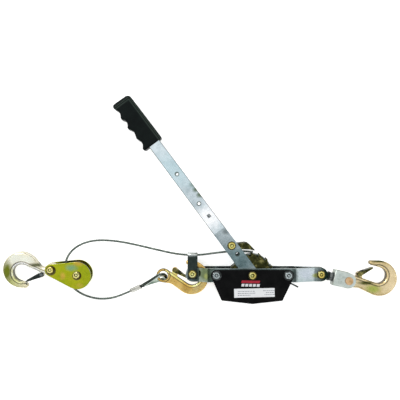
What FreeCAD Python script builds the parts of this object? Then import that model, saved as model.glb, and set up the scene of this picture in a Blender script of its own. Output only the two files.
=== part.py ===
"""Come along winch: a lever-operated ratchet puller lying on its side.

Millimetres. +X runs from the pulley block to the swivel hook, +Y towards the lever, +Z away from the
surface that the tool lies on. Most pieces are drawn about the drum shaft: X, Y from the shaft and Z from
the mid-plane between the two side straps.
"""

import FreeCAD, Part
import math
import os

import Sketcher
from FreeCAD import Placement, Rotation, Vector

SIZES = {
    # Where the shaft stands above the surface, and where it lies from the frame's origin.
    "shaft_x": 117.7,
    "shaft_y": -167.9,
    "mid_level": 34.0,
    # Side straps and cover plates.
    "strap_height": 31.0,
    "strap_thick": 4.0,
    "strap_gap": 42.0,
    "bolt_reach": 79.0,
    "end_pin_x": 154.0,
    "anchor_x": -132.0,
    "anchor_y": 1.8,
    "cover_thick": 1.5,
    "label_long": 89.0,
    "label_tall": 19.6,
    "label_thick": 0.3,
    # Round stock.
    "shaft_radius": 7.0,
    "bolt_radius": 5.0,
    "run_clear": 0.05,
    "spacer_radius": 8.0,
    "anchor_roller": 11.5,
    # Drum and ratchets.
    "wheel_radius": 49.0,
    "wheel_thick": 4.0,
    "drum_width": 20.0,
    "core_radius": 32.0,
    "winding_radius": 46.6,
    "bush_radius": 10.0,
    "rivet_circle": 22.0,
    "rivet_radius": 3.0,
    "teeth": 16.0,
    # Lever, grip and pawls.
    "lever_angle": 126.7,
    "lever_thick": 3.0,
    "fork_gap": 34.0,
    "handle_gap": 18.0,
    "grip_thick": 30.0,
    "pawl_width": 31.0,
    "fork_slot": 20.6,
    "spring_slot": 9.0,
    "spring_wire": 0.7,
    # Swivel and clevis.
    "swivel_tilt": -12.7,
    "eye_thick": 13.0,
    "stud_radius": 5.5,
    "clevis_gap": 18.6,
    "clevis_thick": 4.0,
    "clevis_width": 34.5,
    "clevis_reach": 63.2,
    # Hooks and latches.
    "hook_thick": 18.0,
    "end_hook_thick": 12.0,
    "end_hook_eye": 7.0,
    "hook_round": 4.4,
    "lug_thick": 11.0,
    "latch_width": 14.0,
    "latch_inside": 11.6,
    "latch_rivet": 2.5,
    "hook_pin": 6.0,
    # Pulley block.
    "block_x": -392.0,
    "block_y": -2.5,
    "block_level": 21.4,
    "block_tilt": 7.5,
    "cheek_gap": 19.6,
    "cheek_thick": 3.0,
    "sheave_width": 14.0,
    "sheave_radius": 27.0,
    "groove_radius": 21.8,
    # Wire rope.
    "rope_radius": 2.4,
    "guide_width": 22.0,
    "guide_thick": 2.0,
}

os.makedirs("parts", exist_ok=True)
doc = FreeCAD.newDocument("come_along_winch")
sheet = doc.addObject("Spreadsheet::Sheet", "Sizes")
for row, (alias, number) in enumerate(SIZES.items(), start=1):
    sheet.set(f"A{row}", alias)
    sheet.set(f"B{row}", str(number))
    sheet.setAlias(f"B{row}", alias)
doc.recompute()

NODES = []
ALONG_X, ALONG_Y, ALONG_Z = Vector(1, 0, 0), Vector(0, 1, 0), Vector(0, 0, 1)


def size(alias):
    """A driving dimension, read from the sheet."""
    return float(sheet.get(alias))


def bind(item, prop, text):
    """Tie a property to cells: each word in the text that is an alias becomes a sheet reference."""
    words = text.split()
    item.setExpression(prop, " ".join(f"Sizes.{w}" if w in SIZES else w for w in words))


def frame_at(x=0.0, y=0.0, z=0.0, turn=0.0, about=ALONG_Z):
    return Placement(Vector(x, y, z), Rotation(about, turn))


WINCH = frame_at(size("shaft_x"), size("shaft_y"), size("mid_level"))
LEVER = WINCH * frame_at(turn=size("lever_angle"))
SWIVEL = WINCH * frame_at(size("end_pin_x"), turn=size("swivel_tilt"))
BLOCK = WINCH * frame_at(
    size("block_x"), size("block_y"), size("block_level") - size("mid_level"), size("block_tilt"), ALONG_X
)


def node(item, label, place=WINCH):
    """Name a finished sub-part, put it in the tool's frame and keep it for writing. A single bar already
    has a placement of its own, so it goes in as a group of one."""
    if item.TypeId == "Part::Cylinder":
        item = group([item])
    item.Label = label
    item.Placement = place
    if place is WINCH:
        bind(item, "Placement.Base.x", "shaft_x")
        bind(item, "Placement.Base.y", "shaft_y")
        bind(item, "Placement.Base.z", "mid_level")
    NODES.append(item)
    return item


# ---------------------------------------------------------------- outlines


def unit(angle):
    """The unit vector at an angle in degrees."""
    return Vector(math.cos(math.radians(angle)), math.sin(math.radians(angle)), 0)


def belt(circles):
    """A closed outline round circles (x, y, r), joined by their common tangents. The outline is drawn
    counter-clockwise; a negative radius is a hollow that it passes on the other side, and a radius of
    nothing is a square corner."""
    count = len(circles)
    leave, arrive = [None] * count, [None] * count
    for i, (x, y, r) in enumerate(circles):
        k = (i + 1) % count
        x2, y2, r2 = circles[k]
        gap = Vector(x2 - x, y2 - y, 0)
        run = math.sqrt(gap.Length**2 - (r2 - r) ** 2)
        heading = math.atan2(gap.y, gap.x) - math.atan2(r2 - r, run)
        side = Vector(-math.sin(heading), math.cos(heading), 0)
        leave[i] = Vector(x, y, 0) - side * r
        arrive[k] = Vector(x2, y2, 0) - side * r2
    lines = []
    for i, (x, y, r) in enumerate(circles):
        centre = Vector(x, y, 0)
        start = math.atan2(arrive[i].y - y, arrive[i].x - x)
        end = math.atan2(leave[i].y - y, leave[i].x - x)
        sweep = (end - start) % (2 * math.pi)
        if r < 0:
            sweep -= 2 * math.pi
        middle = centre + unit(math.degrees(start + sweep / 2)) * abs(r)
        if r:
            lines.append(Part.Arc(arrive[i], middle, leave[i]))
        lines.append(Part.LineSegment(leave[i], arrive[(i + 1) % count]))
    return lines


def polygon(points):
    corners = [Vector(x, y, 0) for x, y in points]
    return [Part.LineSegment(a, b) for a, b in zip(corners, corners[1:] + corners[:1])]


def rectangle(x1, y1, x2, y2):
    return polygon([(x1, y1), (x2, y1), (x2, y2), (x1, y2)])


def ring(x, y, radius):
    return [Part.Circle(Vector(x, y, 0), ALONG_Z, radius)]


# ---------------------------------------------------------------- features


def new_body():
    return doc.addObject("PartDesign::Body", "Body")


def sketch_in(body, geometry, plane="XY_Plane", offset=0.0):
    sketch = body.newObject("Sketcher::SketchObject", "Sketch")
    origin_plane = next(f for f in body.Origin.OriginFeatures if f.Role == plane)
    sketch.AttachmentSupport = [(origin_plane, "")]
    sketch.MapMode = "FlatFace"
    sketch.AttachmentOffset = Placement(Vector(0, 0, offset), Rotation())
    sketch.addGeometry(geometry, False)
    return sketch


def pad(body, geometry, length, plane="XY_Plane", offset=0.0, both=True):
    """Add material: an outline thickened by a length that is tied to the sheet."""
    feature = body.newObject("PartDesign::Pad", "Pad")
    feature.Profile = sketch_in(body, geometry, plane, offset)
    feature.SideType = "Symmetric" if both else "One side"
    bind(feature, "Length", length)
    doc.recompute()
    return feature


def cut(body, geometry, length=None, plane="XY_Plane", offset=0.0):
    """Take material away, the same amount each side of the sketch; with no length, right through."""
    before = body.Tip.Shape.Volume
    feature = body.newObject("PartDesign::Pocket", "Pocket")
    feature.Profile = sketch_in(body, geometry, plane, offset)
    feature.SideType = "Symmetric"
    if length is None:
        feature.Type = "ThroughAll"
    else:
        bind(feature, "Length", length)
    doc.recompute()
    if feature.Shape.Volume > before - 0.01:
        raise SystemExit(f"a cut in {body.Label} takes nothing away")
    return feature


def drill(body, holes, plane="XY_Plane"):
    """Round holes right through, each (x, y, radius as words from the sheet or a number of its own)."""
    before = body.Tip.Shape.Volume
    feature = body.newObject("PartDesign::Pocket", "Holes")
    circles = [Part.Circle(Vector(x, y, 0), ALONG_Z, 1 + i / 100) for i, (x, y, _) in enumerate(holes)]
    sketch = sketch_in(body, circles, plane)
    for i, (_, _, radius) in enumerate(holes):
        sketch.addConstraint(Sketcher.Constraint("Radius", i, 1 + i / 100))
        sketch.renameConstraint(i, f"hole_{i}")
        bind(sketch, f"Constraints.hole_{i}", radius)
    feature.Profile = sketch
    feature.SideType = "Symmetric"
    feature.Type = "ThroughAll"
    doc.recompute()
    if feature.Shape.Volume > before - 0.01:
        raise SystemExit("a drilled hole takes nothing away")
    return feature


def round_edges(body, radius, wanted, kind="Fillet"):
    """Fillet or chamfer the edges that a test picks out."""
    base = body.Tip
    names = [f"Edge{i}" for i, edge in enumerate(base.Shape.Edges, start=1) if wanted(edge)]
    feature = body.newObject(f"PartDesign::{kind}", kind)
    feature.Base = (base, names)
    bind(feature, "Radius" if kind == "Fillet" else "Size", radius)
    doc.recompute()
    return feature


def on_faces(half):
    """A test for edges that lie flat at plus or minus a height."""
    return lambda e: abs(abs(e.BoundBox.ZMin) - half) < 1e-4 and e.BoundBox.ZLength < 1e-4


def upright_at(test):
    """A test for straight edges along Z at places that another test accepts."""

    def wanted(edge):
        box = edge.BoundBox
        return box.ZLength > 0.5 and box.XLength < 1e-4 and box.YLength < 1e-4 and test(edge.CenterOfMass)

    return wanted


def cylinder(radius, low, high, x=0.0, y=0.0):
    """A round bar along Z between two levels."""
    item = doc.addObject("Part::Cylinder", "Bar")
    bind(item, "Radius", radius)
    item.Height = high - low
    item.Placement = frame_at(x, y, low)
    return item


def hexagon(radius, low, high, x=0.0, y=0.0, turn=0.0):
    """A hexagonal bar along Z with its top and bottom corners broken."""
    prism = doc.addObject("Part::Prism", "Hexagon")
    prism.Polygon = 6
    prism.Circumradius = radius
    prism.Height = high - low
    blunt = doc.addObject("Part::Cylinder", "Round")
    blunt.Radius = radius
    blunt.Height = high - low
    blunt_edges = doc.addObject("Part::Chamfer", "Break")
    blunt_edges.Base = blunt
    doc.recompute()
    around = 2 * math.pi * radius
    rims = [i for i, e in enumerate(blunt.Shape.Edges, start=1) if abs(e.Length - around) < 1e-3]
    blunt_edges.Edges = [(i, 1.0, 1.6) for i in rims]
    both = doc.addObject("Part::Common", "Nut")
    both.Base = prism
    both.Tool = blunt_edges
    both.Placement = frame_at(x, y, low, turn)
    return both


def minus(base, tool):
    item = doc.addObject("Part::Cut", "Cut")
    item.Base = base
    item.Tool = tool
    return item


def union(items):
    item = doc.addObject("Part::MultiFuse", "Fuse")
    item.Shapes = items
    item.Refine = True
    return item


def group(items):
    item = doc.addObject("Part::Compound", "Group")
    item.Links = items
    return item


def tube(outer, inner, low, high, x=0.0, y=0.0):
    return minus(cylinder(outer, low, high, x, y), cylinder(inner, low - 1, high + 1, x, y))


def pair(inner, outer):
    """The two pairs of levels of a thing that is repeated on both sides of the mid-plane."""
    return [(inner, outer), (-inner, -outer)]


def nut(low, high, x=0.0, y=0.0, radius=9.6, bore="bolt_radius", turn=0.0):
    """A lock nut: a hexagon with a thin flange below it and a round collar above, the flange nearest
    the mid-plane."""
    up = 1 if high > low else -1
    flange_high, collar_high = 1.4, 1.8
    levels = [low, low + up * flange_high, high - up * collar_high, high]
    flange = cylinder(f"{bore} + {radius - 5.2:.2f}", *sorted(levels[:2]), x, y)
    middle = hexagon(radius, *sorted(levels[1:3]), x, y, turn)
    collar = cylinder(f"{bore} + 2", *sorted(levels[2:]), x, y)
    hole = cylinder(bore, min(low, high) - 1, max(low, high) + 1, x, y)
    return minus(union([flange, middle, collar]), hole)


def bolt_with_head(radius, head_level, end_level, x, y):
    """A hexagon-headed bolt whose head is on the far side."""
    head_radius, head_high, turn = 9.2, 5.6, 8
    shank = cylinder(radius, head_level, end_level, x, y)
    return union([shank, hexagon(head_radius, head_level - head_high, head_level, x, y, turn)])


def swept(path_points, radius, bend=None):
    """A round bar of constant section along straight runs joined by tangent arcs, all of one radius or,
    with none given, each as wide as the shorter run beside it allows. Returns its shape, the radii of
    its bends and its length."""
    points = [Vector(*p) for p in path_points]
    edges, radii = [], []
    here = points[0]
    for i in range(1, len(points) - 1):
        before, corner, after = points[i - 1], points[i], points[i + 1]
        back, ahead = before - corner, after - corner
        turn = math.pi - back.getAngle(ahead)
        shorter = min(back.Length, ahead.Length)
        curve = bend or 0.45 * shorter / math.tan(turn / 2)
        reach = curve * math.tan(turn / 2)
        back.normalize()
        ahead.normalize()
        start, end = corner + back * reach, corner + ahead * reach
        centre = corner + (back + ahead).normalize() * (curve / math.cos(turn / 2))
        middle = centre + (corner - centre).normalize() * curve
        if (start - here).Length > 1e-6:
            edges.append(Part.LineSegment(here, start).toShape())
        edges.append(Part.Arc(start, middle, end).toShape())
        radii.append(curve)
        here = end
    edges.append(Part.LineSegment(here, points[-1]).toShape())
    wire = Part.Wire(edges)
    section = Part.Wire(Part.Circle(points[0], points[1] - points[0], radius).toShape())
    solid = wire.makePipeShell([section], True, False)
    return solid, radii, wire.Length


def shape_node(shape, label, place=WINCH):
    item = doc.addObject("Part::Feature", "Shaped")
    item.Shape = shape
    return node(item, label, place)


# ---------------------------------------------------------------- frame


def side_strap(label, side):
    """One joggled flat bar. It is wide apart round the drum and close together at both end pins."""
    inner, thick = size("strap_gap") / 2, size("strap_thick")
    half = size("strap_height") / 2
    left, right, left_level, right_level = -147.5, 169.0, 10.0, 7.2
    bends = [
        (left, left_level),
        (-117.5, left_level),
        (-99.0, inner),
        (96.0, inner),
        (139.0, right_level),
        (right, right_level),
    ]
    profile = [(x, side * z) for x, z in bends] + [(x, side * (z + thick)) for x, z in reversed(bends)]
    body = new_body()
    pad(body, polygon(profile), "strap_height", "XZ_Plane")
    corners = upright_at(lambda c: min(abs(c.x - left), abs(c.x - right)) < 1 and abs(c.y) > half - 1)
    round_edges(body, "strap_height / 2 - 0.1", corners)
    drill(
        body,
        [
            (0, 0, "shaft_radius"),
            (size("bolt_reach"), 0, "bolt_radius"),
            (-size("bolt_reach"), 0, "bolt_radius"),
            (size("end_pin_x"), 0, "bolt_radius"),
            (size("anchor_x"), size("anchor_y"), "bolt_radius"),
        ],
    )
    node(body, label)


def cover_plate(label, side):
    """A black guard plate over the drum, bolted on outside a strap."""
    reach = size("bolt_reach")
    level = side * (size("strap_gap") / 2 + size("strap_thick") + size("cover_thick") / 2)
    body = new_body()
    ears = [(reach, 0, 12.4), (-reach, 0, 12.4)]
    outline = belt(ears + [(-66.8, -53.2, 2), (0, -58.6, 4), (64.5, -53.6, 2)])
    pad(body, outline, "cover_thick", offset=level)
    drill(body, [(0, 0, "shaft_radius"), (reach, 0, "bolt_radius"), (-reach, 0, "bolt_radius")])
    node(body, label)


def rating_label():
    """A thin printed sticker on the near cover plate."""
    face = size("strap_gap") / 2 + size("strap_thick") + size("cover_thick")
    half_long, half_tall = size("label_long") / 2, size("label_tall") / 2
    body = new_body()
    pad(body, rectangle(-half_long, -half_tall, half_long, half_tall), "label_thick", both=False)
    node(body, "rating_label", WINCH * frame_at(4.0, -38.0, face, 1.3))


def frame_fasteners():
    """The shaft, the two frame bolts and both end pins, with their nuts, washers and spacers."""
    reach = size("bolt_reach")
    outside = size("strap_gap") / 2 + size("strap_thick") + size("cover_thick")
    top = size("mid_level")
    inner = size("strap_gap") / 2
    thread = cylinder("bolt_radius", 1 - top, top - 1)
    node(union([cylinder("shaft_radius", -outside, outside), thread]), "main_shaft")
    node(group([nut(low, high, turn=12) for low, high in pair(outside, top)]), "shaft_nuts")
    spots = (-reach, reach)
    washer = outside + 1.5
    sides = [(*sorted(levels), x) for x in spots for levels in pair(outside, washer)]
    node(group([tube("bolt_radius + 5.5", "bolt_radius", *side) for side in sides]), "frame_washers")
    node(group([bolt_with_head("bolt_radius", -washer, washer + 4.9, x, 0) for x in spots]), "frame_bolts")
    node(group([nut(washer, washer + 5.6, x, turn=20) for x in spots]), "frame_nuts")
    node(group([tube("spacer_radius", "bolt_radius", -inner, inner, x) for x in spots]), "frame_spacers")
    anchor = (size("anchor_x"), size("anchor_y"))
    node(cylinder("bolt_radius", -22.0, 22.0, *anchor), "anchor_pin")
    node(group([nut(low, high, *anchor, turn=5) for low, high in pair(16.5, 22.6)]), "anchor_nuts")
    node(tube("anchor_roller", "bolt_radius", -10.0, 10.0, *anchor), "anchor_roller")
    end = (size("end_pin_x"), 0)
    node(cylinder("bolt_radius", -16.8, 16.8, *end), "end_pin")
    node(group([nut(low, high, *end, turn=15) for low, high in pair(11.2, 17.4)]), "end_pin_nuts")


# ---------------------------------------------------------------- drum


def ratchet_wheel(label, side):
    """A ratchet wheel with hooked teeth, its steep faces turned counter-clockwise."""
    tip, phase, pitch = size("wheel_radius"), 26.5, 360 / size("teeth")
    level = side * (size("drum_width") / 2 + size("wheel_thick") / 2)
    body = new_body()
    pad(body, ring(0, 0, tip), "wheel_thick", offset=level)
    steep = unit(phase - 1.4) * (tip - 5.4)
    foot = unit(phase + 4.6) * (tip - 6.2)
    crest = unit(phase + pitch - 3) * tip
    beyond = crest + (crest - foot).normalize() * 6
    outside = unit(phase) * (tip + 4)
    bottom = unit(phase + 1.4) * (tip - 7.8)
    gullet = [
        Part.LineSegment(outside, steep),
        Part.Arc(steep, bottom, foot),
        Part.LineSegment(foot, beyond),
        Part.LineSegment(beyond, outside),
    ]
    first = cut(body, gullet)
    pattern = body.newObject("PartDesign::PolarPattern", "Teeth")
    pattern.Originals = [first]
    axis = next(f for f in body.Origin.OriginFeatures if f.Role == "Z_Axis")
    pattern.Axis = (axis, [""])
    pattern.Angle = 360
    bind(pattern, "Occurrences", "teeth")
    body.Tip = pattern
    doc.recompute()
    circle = [unit(45 + 90 * i) * size("rivet_circle") for i in range(4)]
    drill(body, [(0, 0, "bush_radius")] + [(p.x, p.y, "rivet_radius") for p in circle])
    node(body, label)


def drum():
    """The rope drum between its ratchet wheels, on a bush that turns on the shaft."""
    half = size("drum_width") / 2
    outer = half + size("wheel_thick")
    circle = [unit(45 + 90 * i) * size("rivet_circle") for i in range(4)]
    core = new_body()
    pad(core, ring(0, 0, size("core_radius")), "drum_width")
    drill(core, [(0, 0, "bush_radius")] + [(p.x, p.y, "rivet_radius") for p in circle])
    node(core, "drum_core")
    ratchet_wheel("near_ratchet_wheel", 1)
    ratchet_wheel("far_ratchet_wheel", -1)
    node(tube("bush_radius", "shaft_radius + run_clear", -outer, outer), "drum_bush")
    proud = outer + 0.5
    node(group([cylinder("rivet_radius", -proud, proud, p.x, p.y) for p in circle]), "drum_rivets")
    node(tube("winding_radius", "core_radius", 0.2 - half, half - 0.2), "rope_windings")


# ---------------------------------------------------------------- lever


def extruded(geometry, length, upright=False, level=0.0):
    """A prism of a free-standing outline, drawn flat at a level or on the XZ plane."""
    sketch = doc.addObject("Sketcher::SketchObject", "Outline")
    sketch.Placement = frame_at(turn=90, about=ALONG_X) if upright else frame_at(z=level)
    sketch.addGeometry(geometry, False)
    item = doc.addObject("Part::Extrusion", "Prism")
    item.Base = sketch
    item.DirMode = "Normal"
    item.Solid = True
    item.Symmetric = True
    item.LengthFwd = length
    return item


def common(first, second):
    item = doc.addObject("Part::Common", "Common")
    item.Base = first
    item.Tool = second
    return item


# Where the driving pawl turns, in the lever's own frame.
PAWL_SEAT = (79.5, -2.3)


def lever():
    """A pressed channel that opens into a fork over the ratchet wheels. X runs from the shaft to the
    grip, and +Y is the closed back of the channel."""
    thick = size("lever_thick")
    fork, handle = size("fork_gap") / 2, size("handle_gap") / 2
    low, high, swell, neck = -20.0, 481.0, 122.0, 196.0

    def envelope(extra, grow):
        top = [
            (low - grow, fork + extra),
            (swell, fork + extra),
            (neck, handle + extra),
            (high + grow, handle + extra),
        ]
        return polygon(top + [(s, -z) for s, z in reversed(top)])

    web_start, end_half, start_half = 118.0, 13.5, 15.5

    def edge(s):
        return start_half + (end_half - start_half) * s / high

    corner = edge(high) - 5
    outline = belt([(0, 0, start_half), (high - 6, -corner, 5), (high - 6, corner, 5)])
    blank = common(extruded(envelope(thick, 0), 60, True), extruded(outline, 60))
    reach = [
        (-30, -30),
        (500, -30),
        (500, edge(500) - thick),
        (web_start + 14, edge(web_start) - thick),
        (web_start, 30),
        (-30, 30),
    ]
    hollow = common(extruded(envelope(0, 30), 80, True), extruded(polygon(reach), 80))
    channel = minus(blank, hollow)
    holes = [
        cylinder("shaft_radius + run_clear", -30, 30),
        cylinder("bolt_radius", -30, 30, *PAWL_SEAT),
        cylinder("bolt_radius - 1.6", -30, 30, 57, -1.6),
        cylinder("bolt_radius - 1.8", -30, 30, 197, 0),
        cylinder("bolt_radius - 1.8", -30, 30, 279, 0),
        extruded(rectangle(158, -5, 166, 2.5), 30, level=17.0),
    ]
    node(minus(channel, union(holes)), "lever_channel", LEVER)


def lever_grip():
    """A moulded grip pushed over the handle end, with four finger hollows along its back."""
    bumps, hollows = ((451.4, 21.7), (425.2, 22.2), (396.2, 20.0)), (465.0, 438.5, 410.5, 382.0)
    circles = [(368, -16.5, 5), (476.5, -10.5, 10), (480.2, 18.8, 7)]
    for i, s in enumerate(hollows):
        circles.append((s, 33.2, -12))
        if i < len(bumps):
            circles.append((*bumps[i], 5))
    circles.append((368, 22.8, 5))
    body = new_body()
    pad(body, belt(circles), "grip_thick")
    round_edges(body, "hook_round + 0.2", on_faces(size("grip_thick") / 2))
    cavity_end, half = 481.2, 15.0
    cut(body, rectangle(350, -half, cavity_end, half), "handle_gap + 2 * lever_thick + 0.1")
    node(body, "lever_grip", LEVER)


def pawl_pin():
    """The bolt that the driving pawl turns on, through both fork arms."""
    outside = size("fork_gap") / 2 + size("lever_thick")
    node(cylinder("bolt_radius", -outside - 5.4, outside + 5.4, *PAWL_SEAT), "pawl_pin", LEVER)
    nuts = [nut(low, high, *PAWL_SEAT, turn=10) for low, high in pair(outside, outside + 6.0)]
    node(group(nuts), "pawl_pin_nuts", LEVER)


def spring(radius, turns, x, y, label):
    """A close-wound torsion spring round a pivot."""
    wire = size("spring_wire")
    pitch = 2 * wire + 0.15
    rise = pitch * turns
    helix = Part.makeLongHelix(pitch, rise, radius)
    section = Part.Wire(Part.Circle(Vector(radius, 0, 0), ALONG_Y, wire).toShape())
    coil = Part.Wire(helix.Edges).makePipeShell([section], True, True)
    shape_node(coil, label, WINCH * frame_at(x, y, -rise / 2))


def driving_pawl():
    """A forked beak that reaches over both ratchet wheels, shown lifted clear of them."""
    seat = Rotation(ALONG_Z, size("lever_angle")).multVec(Vector(*PAWL_SEAT, 0))
    x, y = seat.x, seat.y
    print("driving pawl pivot", round(x, 4), round(y, 4))
    body = new_body()
    outline = belt([(x, y, 8.4), (-9, 29, -27.5), (4.6, 55.2, 1.2), (-15.5, 57.5, 14.3), (-31, 83, -13)])
    pad(body, outline, "pawl_width")
    cut(body, rectangle(-32, 20, 20, 90), "fork_slot")
    cut(body, ring(x, y, 10.5), "spring_slot")
    drill(body, [(x, y, "bolt_radius + run_clear")])
    node(body, "driving_pawl")
    spring(6.6, 4, x, y, "driving_pawl_spring")


HOLD_LIFT = 7.0


def holding_pawl():
    """The strut that stops the drum from paying out, on the right frame spacer, shown lifted. Its
    outline is drawn about the pivot in the engaged position."""
    body = new_body()
    outline = belt([(0, 0, 12), (-32.3, -23.1, -8), (-56, -39.2, 1.5), (-29, -42, 6)])
    pad(body, outline, "pawl_width")
    cut(body, rectangle(-70, -60, -22, -10), "fork_slot")
    cut(body, ring(0, 0, 13.5), "spring_slot")
    drill(body, [(0, 0, "spacer_radius + run_clear")])
    node(body, "holding_pawl", WINCH * frame_at(size("bolt_reach"), turn=HOLD_LIFT))
    spring(9.4, 4, size("bolt_reach"), 0, "holding_pawl_spring")
    route = [(81.0, -10.2, 7.0), (87.5, -20.5, 4.0), (104.5, -29.3, 0.0)]
    rod_radius, rod_bend = 1.8, 7.0
    rod, _, _ = swept(route, rod_radius, rod_bend)
    shape_node(rod, "pawl_release_rod")


# ---------------------------------------------------------------- rope guide


def rope_guide():
    """The stirrup that leads the rope on to the drum: a strip bent over the top, pinned at both legs."""
    inside, thick = 14.3, size("guide_thick")
    roof, foot, corner = 45.6, -12.0, 6.0

    def arch(top, wide, low, radius):
        """An arch lying on its side: its roof towards +X and its feet square."""
        ridge, shoulder = top - radius, wide - radius
        corners = [(ridge, -shoulder, radius), (ridge, shoulder, radius)]
        return belt([(low, -wide, 0)] + corners + [(low, wide, 0)])

    outer = arch(roof + thick, inside + thick, foot, corner)
    inner = arch(roof, inside, foot - 9, corner - thick)
    body = new_body()
    pad(body, outer, "guide_width", "YZ_Plane")
    cut(body, inner, "guide_width + 2", "YZ_Plane")
    drill(body, [(0, 0, "bolt_radius + run_clear")])
    return body


# ---------------------------------------------------------------- swivel


def swivel():
    """The eye bolt on the end pin, its nut and washer, and the clevis that turns on it."""
    eye = new_body()
    pad(eye, belt([(0, 0, 11.0), (12, 0, 8)]), "eye_thick")
    pad(eye, ring(0, 0, 10.4), "clevis_thick", "YZ_Plane", offset=18.4)
    pad(eye, ring(0, 0, size("stud_radius")), "clevis_thick * 0.5 + 15.5", "YZ_Plane", offset=28.2)
    pad(eye, ring(0, 0, 8.0), "clevis_thick", "YZ_Plane", offset=35.0)
    drill(eye, [(0, 0, "bolt_radius + run_clear")])

    def head_rim(edge):
        return abs(edge.BoundBox.XMin - 37.0) < 0.01 and edge.BoundBox.XLength < 0.01

    round_edges(eye, "stud_radius / 3", head_rim)
    node(eye, "swivel_eye", SWIVEL)
    across = SWIVEL * Placement(Vector(0, 0, 0), Rotation(ALONG_Y, 90))
    flats = minus(hexagon(10.6, 20.5, 26.4), cylinder("stud_radius", 20, 27))
    node(flats, "swivel_nut", across)
    node(tube("stud_radius + 5", "stud_radius", 26.5, 28.1), "swivel_washer", across)
    gap, plate = size("clevis_gap") / 2, size("clevis_thick")
    pivot, base, end = size("clevis_reach"), 28.4, size("clevis_reach") + 15.6
    outline = [
        (base, -gap - plate),
        (end, -gap - plate),
        (end, -gap),
        (base + plate, -gap),
        (base + plate, gap),
        (end, gap),
        (end, gap + plate),
        (base, gap + plate),
    ]
    clevis = new_body()
    pad(clevis, polygon(outline), "clevis_width", "XZ_Plane")
    half = size("clevis_width") / 2
    ear_ends = upright_at(lambda c: abs(c.x - end) < 0.1 and abs(abs(c.y) - half) < 0.1)
    round_edges(clevis, "clevis_width / 2 - 0.4", ear_ends)

    def outer_bends(edge):
        middle = edge.CenterOfMass
        return abs(middle.x - base) < 0.1 and abs(abs(middle.z) - gap - plate) < 0.1

    round_edges(clevis, "clevis_thick * 0.9", outer_bends)
    drill(clevis, [(pivot, 0, "hook_pin")])
    drill(clevis, [(0, 0, "stud_radius + run_clear")], "YZ_Plane")
    node(clevis, "clevis", SWIVEL)
    outside = gap + plate
    sides = [sorted(levels) for levels in pair(outside, outside + 2.4)]
    heads = [cylinder("hook_pin + 2.8", *levels, pivot) for levels in sides]
    node(union([cylinder("hook_pin", -outside, outside, pivot)] + heads), "clevis_rivet", SWIVEL)


# ---------------------------------------------------------------- hooks

RIGHT_HOOK = {
    "outline": [(0, 0, 15.2), (13, -38, -20), (69.6, -3.7, 39.5), (56.7, 33.0, 5.0), (67.7, 3.45, -17.9)],
    "eye": "hook_pin + run_clear",
    "latch": (26.1, 10.5),
    "latch_tip": (57.4, 21.2),
    "thick": "hook_thick",
    "round": "hook_round",
}
LEFT_HOOK = {
    "outline": [(0, 0, 15), (17.7, -14.9, -8), (68.8, -3.8, 41.2), (61.9, 33.2, 5.2), (67.1, 3.1, -19.5)],
    "eye": "hook_pin + run_clear",
    "latch": (24.1, 9.85),
    "latch_tip": (60.2, 23.1),
    "thick": "hook_thick",
    "round": "hook_round",
}
END_HOOK = {
    "outline": [(0, 0, 15.6), (9, -39, -22), (63, -4.8, 37.5), (55.6, 29.4, 4.8), (64.5, -2.2, -18.5)],
    "eye": "hook_pin + 3.9",
    "latch": (25.7, 12.3),
    "latch_tip": (54.0, -4.7),
    "thick": "end_hook_thick",
    "round": "hook_round - 1.5",
}


def hook(label, form, place):
    """A forged hook. X runs from its eye along the shank, and +Y is the side that opens."""
    body = new_body()
    pad(body, belt(form["outline"]), form["thick"])
    half = size(form["thick"]) / 2
    round_edges(body, form["round"], on_faces(half))
    if form is END_HOOK:
        thin = size("end_hook_eye") / 2
        for level in (thin + half, -thin - half):
            cut(body, ring(0, 0, 17.0), form["thick"], offset=level)
    x, y = form["latch"]
    pad(body, belt([(x, y, 6), (x, y - 12, 6)]), "lug_thick")
    drill(body, [(0, 0, form["eye"]), (x, y, "latch_rivet")])
    node(body, label, place)


def latch(label, form, place):
    """A spring latch: a pressed channel whose ears straddle the hook's lug."""
    x, y = form["latch"]
    tip = form["latch_tip"]
    ahead = Vector(tip[0] - x, tip[1] - y, 0).normalize()
    inward = Vector(ahead.y, -ahead.x, 0)
    nose = 1.5
    inner_tip = Vector(*tip, 0) + inward * 1.3 - ahead * 3
    body = new_body()
    pad(body, belt([(x, y, 5.2), (*tip, nose)]), "latch_width")
    cut(body, belt([(x, y, 6.5), (inner_tip.x, inner_tip.y, nose)]), "latch_inside")
    drill(body, [(x, y, "latch_rivet + run_clear")])
    node(body, label, place)
    rivet = label + "_rivet"
    side = size("latch_width") / 2
    sides = [sorted(levels) for levels in pair(side + 0.1, side + 1.3)]
    heads = [cylinder("latch_rivet + 1.3", *levels, x, y) for levels in sides]
    node(union([cylinder("latch_rivet", -side - 1, side + 1, x, y)] + heads), rivet, place)


# ---------------------------------------------------------------- pulley block

BOLT_X, BOLT_Y = -57.9, 11.8


def cheek(label, side):
    level = side * (size("cheek_gap") / 2 + size("cheek_thick") / 2)
    body = new_body()
    pad(body, belt([(0, 0, 31.3), (BOLT_X, BOLT_Y, 13.7)]), "cheek_thick", offset=level)
    round_edges(body, "cheek_thick / 5", on_faces(size("cheek_gap") / 2 + size("cheek_thick")))
    drill(body, [(0, 0, "bolt_radius"), (BOLT_X, BOLT_Y, "hook_pin")])
    node(body, label, BLOCK)


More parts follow.
